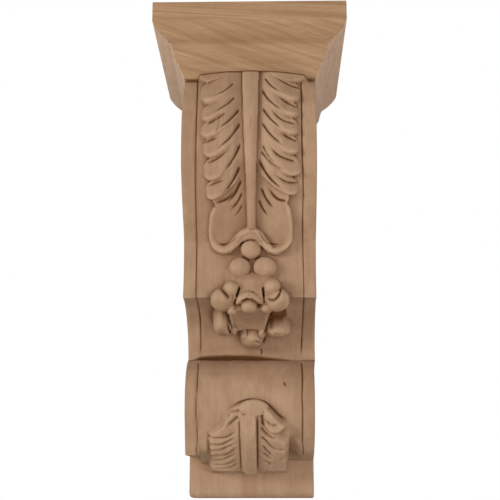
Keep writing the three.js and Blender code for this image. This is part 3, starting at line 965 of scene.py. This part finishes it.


# Painted shade: narrow cuts and broad hollows are darkened in the wood's colour, less on the lower leaf.
filled = widest(widest(height, CUT_REACH, np.maximum), CUT_REACH, np.minimum)
painted_shade = CUT_SHARE * np.clip((filled - height) / CUT_FULL, 0, 1)
painted_shade *= 1 - LOWER_LEAF_LESS_SHADE * smooth(*LOWER_LEAF_FROM, DOWN)
painted_shade += BROAD_SHARE * np.clip(below_blur(BROAD_BLUR, BROAD_FULL), 0, 1)
painted_shade += LOBE_SHARE * np.clip(below_blur(LOBE_BLUR, LOBE_FULL), 0, 1)
# Painted shadow along the leaf's top edge, under the cap.
painted_shade += 1 - smooth(*TOP_SHADE, DOWN)
# Painted shade along the crevice over the roll.
painted_shade += 1 - smooth(*CREVICE_SHADE, np.abs(DOWN - graded(X, CREVICE_LINE)))
# Painted shade in the flower's deepest holes.
for hole in DARK_HOLES:
    painted_shade += oval(*hole, HOLE_CORE)
# Painted shade in the two cups.
painted_shade += CUP_SHADE * blur(cups.astype(float), CUP_BLUR)
painted_shade = np.clip(painted_shade, 0, 1)
# Painted highlight on the edge of the nose and on what stands over the blur.
on_nose = (1 - smooth(0, NOSE_HIGHLIGHT, np.abs(DOWN - nose_down))) * (height < PLAIN_HEIGHT)
painted_highlight = np.clip(on_nose - below_blur(HIGHLIGHT_BLUR, HIGHLIGHT_FULL), 0, 1)
print(f"hollow share {painted_shade.mean():.2f}")

# %% [markdown]
# ## Setting the sheet in place
#
# Every place of the grid now goes to its point on the front, out by its height. The outer columns turn
# round the edges, and the sides are not quite straight, as on a piece sawn by hand. A Curve modifier
# could bend a flat sheet, but it bends every column alike, and the lower leaf follows a line of its own.

# %% Place the front
# Each stop is a distance down, and how far the side is shifted there.
LEFT_SIDE = [(0, 0), (35, -1.3), (75, -1.2), (120, 0)]
RIGHT_SIDE = [
    (0, 0), (30, 0.5), (70, 0.4), (130, -0.4), (174, -0.7), (250, -0.2), (275, -1.6), (345, -1.9),
    (380, -1.3),
]

turned = np.clip((np.abs(across) - flat_half) / EDGE_ROUND, 0, math.pi / 2)
place_x = np.sign(across) * (np.minimum(np.abs(across), flat_half) + EDGE_ROUND * np.sin(turned))
side_shift = np.where(X < 0, graded(DOWN, LEFT_SIDE), graded(DOWN, RIGHT_SIDE))
side_shift *= smooth(BORDER_X, flat_half, np.abs(X))
lift = height - EDGE_ROUND * (1 - np.cos(turned))
spot = np.empty((GRID_ROWS, COLUMNS, 3))
spot[:, :, 0] = place_x + np.vstack([side_shift[:1]] * LEDGE_ROWS + [side_shift])
front = spot[LEDGE_ROWS:]
front[:, :, 1] = -(base[:, :, 0] + out[:, :, 0] * lift)
front[:, :, 2] = base[:, :, 1] + out[:, :, 1] * lift
print(f"front stands {-front[:, :, 1].min():.1f} mm from the wall")

# %% [markdown]
# ## The ledge under the cap
#
# The leaf's top edge rises to the stem in a flat arch, and behind it a ledge drops to the glue line.
# The two bands beside the leaf stop a little short of the cap, which leaves a dark gap over them. A flat
# end would be simpler, but then the joint would throw no shadow.

# %% Ledge
GAP = 1.8
GAP_REACH = 4 * GAP
GAP_BACK = 5.0
GAP_SLOPE = 0.6
LEAF_ENDS = (-38.0, 41.4)
TOP_ARCH = (2.6, 3.5)
TOP_TILT = 0.37
LEDGE_STEP = 0.05
LEDGE_FRONT = SHOULDER[0] + 0.4

over_band = 1 - past(across, LEAF_ENDS[0]) * (1 - past(across, LEAF_ENDS[1]))
leaf_top = TOP_ARCH[0] + TOP_ARCH[1] * (1 - (X / LEAF_ENDS[1]) ** 2) - TOP_TILT * lift
front[:, :, 2] += leaf_top * (1 - smooth(0, TOP_REACH, DOWN)) * (1 - over_band)
front[:, :, 2] -= GAP * over_band * (1 - smooth(0, GAP_REACH, DOWN))
spot[1, :, 1] = np.maximum(front[0, :, 1] + LEDGE_STEP, -LEDGE_FRONT) + GAP_BACK * over_band
spot[1, :, 2] = front[0, :, 2] + GAP_SLOPE * over_band
spot[0, :, 1] = spot[1, :, 1] + LEDGE_STEP
spot[0, :, 2] = SHOULDER[1]
print(f"leaf top up to {front[0, :, 2].max() - SHOULDER[1]:.1f} mm over the glue line")

# %% [markdown]
# ## The flat sides
#
# From each long edge two more columns run back to the wall, the first close behind the edge, so that the
# round of the edge is shaded apart from the flat side. One big face could close a side, but it isn't quite
# flat. The edge is made to fall all the way to the crevice, because a strip that turns up again would fold
# over, and under the squared band the strips fan out. The foot's two lower corners are rounded off.

# %% Sides and foot
LEAST_FALL = 0.02
FAN_LIFT = 6.0
FOOT_CORNER = 3.0

row_downs = np.concatenate([np.zeros(LEDGE_ROWS), downs])
over_crevice = row_downs < crevice_down
least_fall = LEAST_FALL * np.arange(over_crevice.sum())
for column in (0, -1):
    falling = np.minimum.accumulate(spot[over_crevice, column, 2] + least_fall)
    spot[over_crevice, column, 2] = falling - least_fall


def side_columns(edge):
    """From one long edge straight back to the wall: level, but fanned out where the band is cut under."""
    level = edge[:, 2].copy()
    low = row_downs > band_start
    fan = [(band_start, level[~low][-1]), (block_down, BLOCK_TOP + FAN_LIFT), (ground.length, level[-1])]
    level[low] = graded(row_downs[low], fan)
    wall = np.column_stack([edge[:, 0], np.zeros(len(edge)), level])
    return np.stack([edge + share * (wall - edge) for share in SIDE_SHARES], axis=1)


spot = np.concatenate([side_columns(spot[:, 0])[:, ::-1], spot, side_columns(spot[:, -1])], axis=1)
corner_x = np.abs(spot[:, :, 0]) - (BODY_HALF_WIDTH - FOOT_CORNER)
corner_z = (BODY_BOTTOM + FOOT_CORNER) - spot[:, :, 2]
corner = np.hypot(corner_x, corner_z)
outside = (corner_x > 0) & (corner_z > 0) & (corner > FOOT_CORNER)
pull = np.where(outside, 1 - FOOT_CORNER / np.maximum(corner, FOOT_CORNER), 0)
spot[:, :, 0] -= np.sign(spot[:, :, 0]) * corner_x * pull
spot[:, :, 2] += corner_z * pull
print(f"sides from {spot[:, 0, 2].min():.1f} to {spot[:, 0, 2].max():.1f} mm high")

# %% [markdown]
# ## Writing the mesh
#
# The points go into the grid in one call. The painted shade and the painted highlights go beside them as
# point attributes, which the wood reads. A painted picture would need the mesh to be unwrapped first.

# %% Write the mesh
body.data.vertices.foreach_set("co", (spot[row_of, column_of] * MM).ravel())
body.data.update()
# The ledge rows get full painted shade and no painted highlight.
for name, values, on_ledge in (("painted_shade", painted_shade, 1), ("painted_highlight", painted_highlight, 0)):
    rows = np.vstack([np.full((LEDGE_ROWS, COLUMNS), on_ledge), values])
    rows = np.pad(rows, ((0, 0), (len(SIDE_SHARES), len(SIDE_SHARES))))
    layer = body.data.attributes.new(name, "FLOAT", "POINT")
    layer.data.foreach_set("value", rows[row_of, column_of].astype(np.float32))
print(f"mesh of {len(body.data.vertices)} points written")

# %% [markdown]
# ## Closing the block
#
# The grid is only a skin that ends at the wall. An edge is drawn across each open end there, and the
# top, foot and back are each filled with one face, which is shaded flat. A Solidify modifier would close
# it too, but as a thin shell and not as a block.

# %% Close the block
BODY_SMOOTH_ANGLE = math.radians(55)


def fill(obj, chosen):
    """Draws an edge between two vertices, or a face through a ring of them."""
    marks = np.zeros(len(obj.data.vertices), bool)
    marks[chosen] = True
    for parts in (obj.data.polygons, obj.data.edges):
        parts.foreach_set("select", np.zeros(len(parts), bool))
    obj.data.vertices.foreach_set("select", marks)
    bpy.ops.object.mode_set(mode="EDIT")
    bpy.ops.mesh.select_mode(type="VERT")
    bpy.ops.mesh.edge_face_add()
    bpy.ops.object.mode_set(mode="OBJECT")


def face_outwards():
    """Turns every face of the active mesh outwards."""
    bpy.ops.object.mode_set(mode="EDIT")
    bpy.ops.mesh.select_all(action="SELECT")
    bpy.ops.mesh.normals_make_consistent(inside=False)
    bpy.ops.object.mode_set(mode="OBJECT")


number = np.empty((GRID_ROWS, GRID_COLUMNS), int)
number[row_of, column_of] = np.arange(len(flat))
for end_row in (number[0], number[-1]):
    fill(body, [end_row[0], end_row[-1]])
    fill(body, end_row)
fill(body, np.concatenate([number[:, 0], number[:, -1]]))
face_outwards()
bpy.ops.object.shade_smooth_by_angle(angle=BODY_SMOOTH_ANGLE)
for face in body.data.polygons:
    face.use_smooth = len(face.vertices) <= 4 and face.use_smooth
open_edges = len(body.data.edges) * 2 - sum(len(p.vertices) for p in body.data.polygons)
print(f"body {len(body.data.polygons)} faces, {open_edges} open edges")

# %% [markdown]
# ## The cap's moulding
#
# Under its plain fascia the cap is moulded: an ovolo, a cove, a second ovolo and a neck over the body. Each
# member is one gentle curve, given by where it ends and how far it swells from the straight.

# %% Moulding line
FASCIA_DROP = 15.0
NECK_STEP = 0.8
NECK_INSET = CAP_DEPTH - SHOULDER[0] + NECK_STEP
MOULDING = [
    dict(name="first ovolo", inset=12.6, drop=28, swell=1.3),
    dict(name="cove", inset=15, drop=36, swell=-0.3),
    dict(name="second ovolo", inset=18.8, drop=42, swell=0.4),
    dict(name="neck", inset=NECK_INSET, drop=CAP_TOP - CAP_BOTTOM, swell=0.2),
]
MOULDING_STEPS = 9


def moulding():
    """The moulding as (inset from the cap's edge, drop from its top)."""
    start = np.array([0.0, FASCIA_DROP])
    parts = [[start]]
    for member in MOULDING:
        end = np.array([member["inset"], member["drop"]])
        chord = end - start
        out_way = np.array([-chord[1], chord[0]]) / np.hypot(*chord)
        bend = (start + end) / 2 + 2 * member["swell"] * out_way
        parts.append(curve(start, bend, end, MOULDING_STEPS)[1:])
        start = end
    return np.vstack(parts)


steps = moulding()
print(f"moulding in {len(steps) - 1} steps:", ", ".join(member["name"] for member in MOULDING))

# %% [markdown]
# ## The cap block
#
# The cap is moulded on three sides and flat at the back. It starts as a slab the height of the fascia.
# Its lower face is pulled down in short steps, and each step is scaled towards the back, which draws the
# moulding with mitred corners. A profile swept round the three sides would do too, but its corners would
# have to be joined. The edges are then softened, and the faces of the two flanks are marked, because they
# are coloured pinker, the wood's own tone, and paler, which is partly painted light on faces turned to
# the side.

# %% Cap block
CAP_EDGE = 0.9
CAP_EDGE_STEPS = 3
CAP_EDGE_ANGLE = math.radians(28)
CAP_SMOOTH_ANGLE = math.radians(36)
FACING = 0.9

bpy.ops.object.select_all(action="DESELECT")
bpy.ops.mesh.primitive_cube_add(size=1)
cap = bpy.context.object
cap.name = "cap_block_wood"
cap.scale = (2 * CAP_HALF_WIDTH * MM, CAP_DEPTH * MM, FASCIA_DROP * MM)
cap.location = (0, -CAP_DEPTH / 2 * MM, (CAP_TOP - FASCIA_DROP / 2) * MM)
bpy.ops.object.transform_apply(location=True, rotation=True, scale=True)
bpy.ops.object.mode_set(mode="EDIT")
bpy.ops.mesh.select_mode(type="FACE")
bpy.ops.mesh.select_all(action="DESELECT")
bpy.ops.object.mode_set(mode="OBJECT")
for face in cap.data.polygons:
    face.select = face.normal.z < -FACING
bpy.ops.object.mode_set(mode="EDIT")
for (inset, drop), (next_inset, next_drop) in zip(steps, steps[1:]):
    fall = (0, 0, -(next_drop - drop) * MM)
    narrow = (CAP_HALF_WIDTH - next_inset) / (CAP_HALF_WIDTH - inset)
    shallow = (CAP_DEPTH - next_inset) / (CAP_DEPTH - inset)
    bpy.ops.mesh.extrude_region_move(TRANSFORM_OT_translate={"value": fall})
    bpy.ops.transform.resize(value=(narrow, shallow, 1), center_override=(0, 0, 0))
face_outwards()
soften = cap.modifiers.new("soften", "BEVEL")
soften.width = CAP_EDGE * MM
soften.segments = CAP_EDGE_STEPS
soften.limit_method = "ANGLE"
soften.angle_limit = CAP_EDGE_ANGLE
bpy.ops.object.modifier_apply(modifier=soften.name)
bpy.ops.object.shade_smooth_by_angle(angle=CAP_SMOOTH_ANGLE)
ways = np.array([face.normal[:] for face in cap.data.polygons])
flank = cap.data.attributes.new("flank", "FLOAT", "FACE")
flank.data.foreach_set("value", (np.abs(ways[:, 0]) > np.abs(ways[:, 1])).astype(np.float32))
print(f"cap {len(cap.data.polygons)} faces")

# %% [markdown]
# ## Writing shaders as sums
#
# A shader is easier to read as arithmetic than as a web of nodes. A Wire wraps one socket, and adding
# or multiplying wires adds Math nodes. Every other node comes from one method of the Shader.

# %% Wires
def math_node(operation, turned_round=False):
    """A method that adds one Math node to a wire and a number or another wire."""
    def method(self, other):
        first, second = (other, self) if turned_round else (self, other)
        return self.shader.node("ShaderNodeMath", {"operation": operation}, {0: first, 1: second})
    return method


class Wire:
    """One socket, with arithmetic."""
    __add__, __radd__ = math_node("ADD"), math_node("ADD", turned_round=True)
    __sub__, __rsub__ = math_node("SUBTRACT"), math_node("SUBTRACT", turned_round=True)
    __mul__, __rmul__ = math_node("MULTIPLY"), math_node("MULTIPLY", turned_round=True)

    def __init__(self, shader, socket):
        self.shader = shader
        self.socket = socket


print("wires can be added, subtracted and multiplied")

# %% [markdown]
# ## A material under construction
#
# The Shader starts from the Principled surface that every new material has. Bare wood has little sheen,
# and its colour, roughness and fine relief come from noise in the piece's own coordinates.

# %% Shader helpers
BARE_WOOD_SHEEN = 0.2


class Shader:
    """A material under construction."""

    def __init__(self, name):
        self.material = bpy.data.materials.new(name)
        self.material.use_nodes = True
        self.tree = self.material.node_tree
        self.surface = self.tree.nodes["Principled BSDF"]

    def node(self, kind, settings=None, values=None, output=0):
        made = self.tree.nodes.new(kind)
        for key, value in (settings or {}).items():
            setattr(made, key, value)
        for key, value in (values or {}).items():
            self.feed(made.inputs[key], value)
        return Wire(self, made.outputs[output])

    def feed(self, socket, value):
        if isinstance(value, Wire):
            self.tree.links.new(value.socket, socket)
        else:
            socket.default_value = value

    def place(self, scale, turn=(0, 0, 0)):
        """Object coordinates, turned and then scaled to so many cycles a metre along each axis."""
        coordinates = self.node("ShaderNodeTexCoord", output="Object")
        turned = self.node("ShaderNodeMapping", values={"Vector": coordinates, "Rotation": turn})
        return self.node("ShaderNodeMapping", values={"Vector": turned, "Scale": scale})

    def attribute(self, name):
        return self.node("ShaderNodeAttribute", {"attribute_name": name}, output="Fac")

    def noise(self, where, detail=2.0, roughness=0.5, distortion=0.0):
        values = dict(Vector=where, Scale=1.0, Detail=detail, Roughness=roughness, Distortion=distortion)
        return self.node("ShaderNodeTexNoise", values=values, output="Fac")

    def ramp(self, value, low, high, start=0.0, end=1.0):
        """A value taken from low to high, smoothly, on to start to end."""
        values = {"Value": value, "From Min": low, "From Max": high, "To Min": start, "To Max": end}
        return self.node("ShaderNodeMapRange", {"interpolation_type": "SMOOTHSTEP"}, values)

    def blend(self, share, first, second):
        settings = {"data_type": "RGBA", "blend_type": "MIX", "clamp_factor": True}
        return self.node("ShaderNodeMix", settings, {0: share, 6: first, 7: second}, output=2)

    def bump(self, value, strength, distance, under=None):
        values = {"Strength": strength, "Distance": distance, "Height": value}
        if under:
            values["Normal"] = under
        return self.node("ShaderNodeBump", values=values)

    def finish(self, color, roughness, normal):
        self.surface.inputs["Specular IOR Level"].default_value = BARE_WOOD_SHEEN
        self.feed(self.surface.inputs["Base Color"], color)
        self.feed(self.surface.inputs["Roughness"], roughness)
        self.feed(self.surface.inputs["Normal"], normal)
        return self.material


print("shader helpers ready")

# %% [markdown]
# ## The body's wood
#
# Pale, pinkish and close-grained, with the grain upright. Long soft streaks come from noise that is
# stretched along the grain, pores are short fine dashes, and broad noise gives the blotches of bare
# wood. Hollows are painted browner as painted shade, and crests and the nose's edge paler as painted
# highlights. A picture of wood could be laid on instead, but noise in space runs through the block as
# grain does.

# %% Body wood
def rgb(red, green, blue):
    """A colour given as the 0 to 255 values of a screen, as the shader's linear values."""
    share = [v / 255 for v in (red, green, blue)]
    return tuple(v / 12.92 if v < 0.04045 else ((v + 0.055) / 1.055) ** 2.4 for v in share) + (1.0,)


BODY_BROWN, BODY_PALE = rgb(162, 127, 98), rgb(186, 152, 122)
HIGHLIGHT_PALE = rgb(208, 174, 142)
BODY_PORE = rgb(126, 90, 64)
SHADE_BROWN = rgb(104, 60, 22)


def body_wood():
    wood = Shader("body_wood")
    figure = wood.noise(wood.place((55, 55, 3.2)), detail=4, roughness=0.55, distortion=0.6)
    streak = wood.noise(wood.place((330, 330, 9)), detail=3, roughness=0.6)
    pores = wood.noise(wood.place((1500, 1500, 95)), detail=1.5)
    blotch = wood.noise(wood.place((16, 16, 9)), detail=2)
    smudge = wood.noise(wood.place((85, 85, 60)), detail=4, roughness=0.6)
    grit = wood.noise(wood.place((2400, 2400, 2400)), detail=2)
    tone = 0.26 * figure + 0.2 * streak + 0.32 * blotch + 0.22 * smudge
    color = wood.blend(wood.ramp(tone, 0.36, 0.64), BODY_BROWN, BODY_PALE)
    # Painted highlight: paler on crests and the nose's edge.
    color = wood.blend(wood.ramp(wood.attribute("painted_highlight"), 0, 1, 0, 0.32), color, HIGHLIGHT_PALE)
    color = wood.blend(wood.ramp(pores, 0.58, 0.78, 0, 0.22), color, BODY_PORE)
    # Painted shade: browner in the hollows.
    color = wood.blend(wood.ramp(wood.attribute("painted_shade"), 0.05, 0.95, 0, 0.92), color, SHADE_BROWN)
    roughness = wood.ramp(streak, 0.3, 0.7, 0.62, 0.78)
    fibre = wood.bump(0.6 * streak + 0.4 * pores, 0.25, 0.0006)
    normal = wood.bump(grit, 0.12, 0.0003, under=fibre)
    return wood.finish(color, roughness, normal)


body.data.materials.append(body_wood())
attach(body, "root")
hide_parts("carved_body")
print("body wood on", body.name)

# %% [markdown]
# ## The cap's wood
#
# The cap's grain runs across the front. The sawn face shows it as fine lines, almost level, on the upright
# fascia, and as bands that slant on the moulding, where the tool cut across the year rings. The flanks are
# pinker, the wood's own tone, and paler, which is partly painted light on faces turned to the side. One
# noise could serve for all three, but the slant changes sharply at the fascia's edge, so two are blended
# by height.

# %% Cap wood
FASCIA_EDGE = (CAP_TOP - FASCIA_DROP) * MM
FASCIA_BLEND = 1.0 * MM
BAND_SLANT = (0, math.radians(-17), 0)
LINE_SLANT = (0, math.radians(-4), 0)
CAP_BROWN, CAP_PALE = rgb(158, 120, 87), rgb(188, 152, 116)
FLANK_ROSE, FLANK_PALE = rgb(202, 168, 141), rgb(219, 186, 160)
CAP_PORE = rgb(120, 86, 60)


def cap_wood():
    wood = Shader("cap_wood")
    coordinates = wood.node("ShaderNodeTexCoord", output="Object")
    level = wood.node("ShaderNodeSeparateXYZ", values={0: coordinates}, output="Z")
    on_fascia = wood.ramp(level, FASCIA_EDGE - FASCIA_BLEND, FASCIA_EDGE + FASCIA_BLEND)
    bands = wood.noise(wood.place((8, 40, 400), BAND_SLANT), detail=4, roughness=0.6, distortion=0.4)
    lines = wood.noise(wood.place((7, 60, 520), LINE_SLANT), detail=3, distortion=0.3)
    streak = wood.noise(wood.place((14, 300, 420)), detail=3, roughness=0.6)
    pores = wood.noise(wood.place((95, 1500, 1500)), detail=1.5)
    blotch = wood.noise(wood.place((10, 14, 16)), detail=2)
    grit = wood.noise(wood.place((2400, 2400, 2400)), detail=2)
    tone = 0.65 * (bands + on_fascia * (lines - bands)) + 0.2 * streak + 0.3 * blotch
    color = wood.blend(wood.ramp(tone, 0.36, 0.78), CAP_BROWN, CAP_PALE)
    # The flanks' colour: pinker as the wood's own tone, and paler as partly painted light.
    rings = wood.ramp(0.5 * lines + 0.5 * streak, 0.38, 0.62)
    flank_color = wood.blend(rings, FLANK_ROSE, FLANK_PALE)
    color = wood.blend(0.9 * wood.attribute("flank"), color, flank_color)
    color = wood.blend(wood.ramp(pores, 0.56, 0.75, 0, 0.3), color, CAP_PORE)
    roughness = wood.ramp(streak, 0.3, 0.7, 0.6, 0.75)
    fibre = wood.bump(0.6 * streak + 0.4 * pores, 0.2, 0.0005)
    normal = wood.bump(grit, 0.1, 0.0003, under=fibre)
    return wood.finish(color, roughness, normal)


cap.data.materials.append(cap_wood())
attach(cap, "root")
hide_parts("cap_block")
print("cap wood on", cap.name)

# %% [markdown]
# ## Floor and lamps
#
# The corbel hangs over a plain pale floor. A small key lamp on the left makes the carving throw short
# shadows to the right, a larger one fills from the right, and the largest stands in front and low, so that
# it reaches under the nose. One big lamp would be simpler, but it flattens the carving.

# %% Floor and lamps
FLOOR_LEVEL = -0.5
FLOOR_SIZE = 8
FLOOR_PALE = rgb(232, 230, 226)
FLOOR_ROUGHNESS = 0.8
# Each lamp is its name, place in metres, size and power.
LAMPS = [
    ("key", (-1.2, -1.0, 0.1), 0.35, 9.8),
    ("side", (1.3, -0.5, 0.0), 0.9, 3.6),
    ("front", (0.3, -1.4, -0.5), 1.0, 13.6),
]

bpy.ops.mesh.primitive_plane_add(size=FLOOR_SIZE, location=(0, 0, FLOOR_LEVEL))
floor = bpy.context.object
floor.name = "floor"
paint = Shader("floor_paint")
paint.surface.inputs["Base Color"].default_value = FLOOR_PALE
paint.surface.inputs["Roughness"].default_value = FLOOR_ROUGHNESS
floor.data.materials.append(paint.material)

for name, place, size, power in LAMPS:
    bpy.ops.object.light_add(type="AREA", location=place)
    lamp = bpy.context.object
    lamp.name = name
    lamp.data.size = size
    lamp.data.energy = power
    lamp.rotation_euler = (-lamp.location).to_track_quat("-Z", "Y").to_euler()
print(f"floor and {len(LAMPS)} lamps")

# %% [markdown]
# ## The white room
#
# The room is seen as pure white, but lights the wood much less, so that the shadows stay. A Light Path
# node tells the camera's own rays from the others. A white wall could serve, but it would catch shadows and
# light the carving from behind.

# %% Room
ROOM_LIGHT = 0.30
WHITE = (1, 1, 1, 1)

room = bpy.data.worlds.new("white_room")
room.use_nodes = True
bpy.context.scene.world = room
tree = room.node_tree
seen = tree.nodes.new("ShaderNodeBackground")
seen.inputs["Color"].default_value = WHITE
lit = tree.nodes["Background"]
lit.inputs["Color"].default_value = WHITE
lit.inputs["Strength"].default_value = ROOM_LIGHT
path = tree.nodes.new("ShaderNodeLightPath")
mixed = tree.nodes.new("ShaderNodeMixShader")
tree.links.new(path.outputs["Is Camera Ray"], mixed.inputs["Fac"])
tree.links.new(lit.outputs["Background"], mixed.inputs[1])
tree.links.new(seen.outputs["Background"], mixed.inputs[2])
tree.links.new(mixed.outputs["Shader"], tree.nodes["World Output"].inputs["Surface"])
bpy.context.scene.view_settings.view_transform = "Standard"
print("white room, lit at", ROOM_LIGHT)
